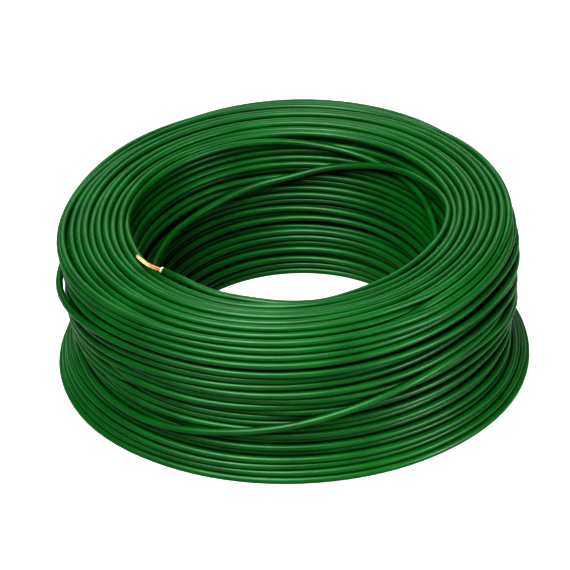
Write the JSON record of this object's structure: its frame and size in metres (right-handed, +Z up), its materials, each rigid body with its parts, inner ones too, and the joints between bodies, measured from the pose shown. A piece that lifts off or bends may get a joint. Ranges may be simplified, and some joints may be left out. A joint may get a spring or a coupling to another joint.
{
  "type": "wire coil",
  "caption": "Self-standing ring-shaped coil of green insulated single-core building wire, wound without a reel, with a stripped inner end in its eye.",
  "frame": {"origin": "on the coil's axis, at the base that it lies on, which is the lower rim of the eye's straight land", "axes": "+Z up along the coil's axis; -Y is the side that the wire's stripped inner end lies towards, front left of the eye; +X to the right"},
  "size_m": [0.2132, 0.2132, 0.074],
  "materials": {
    "green_insulation": "smooth extruded PVC, semi-gloss",
    "inner_insulation": "pale unpigmented PVC, cut square",
    "copper": "bright bare copper"
  },
  "bodies": {
    "root": {"packed_turns": "green_insulation", "outer_turns": "green_insulation", "inner_lead": "green_insulation", "inner_end_jacket": "green_insulation", "inner_end_sleeve": "inner_insulation", "inner_end_centre_strand": "copper", "inner_end_strand_1": "copper", "inner_end_strand_2": "copper", "inner_end_strand_3": "copper", "inner_end_strand_4": "copper", "inner_end_strand_5": "copper", "inner_end_strand_6": "copper", "outer_end_jacket": "green_insulation", "outer_end_sleeve": "inner_insulation", "outer_end_strands": "copper"}
  },
  "joints": []
}
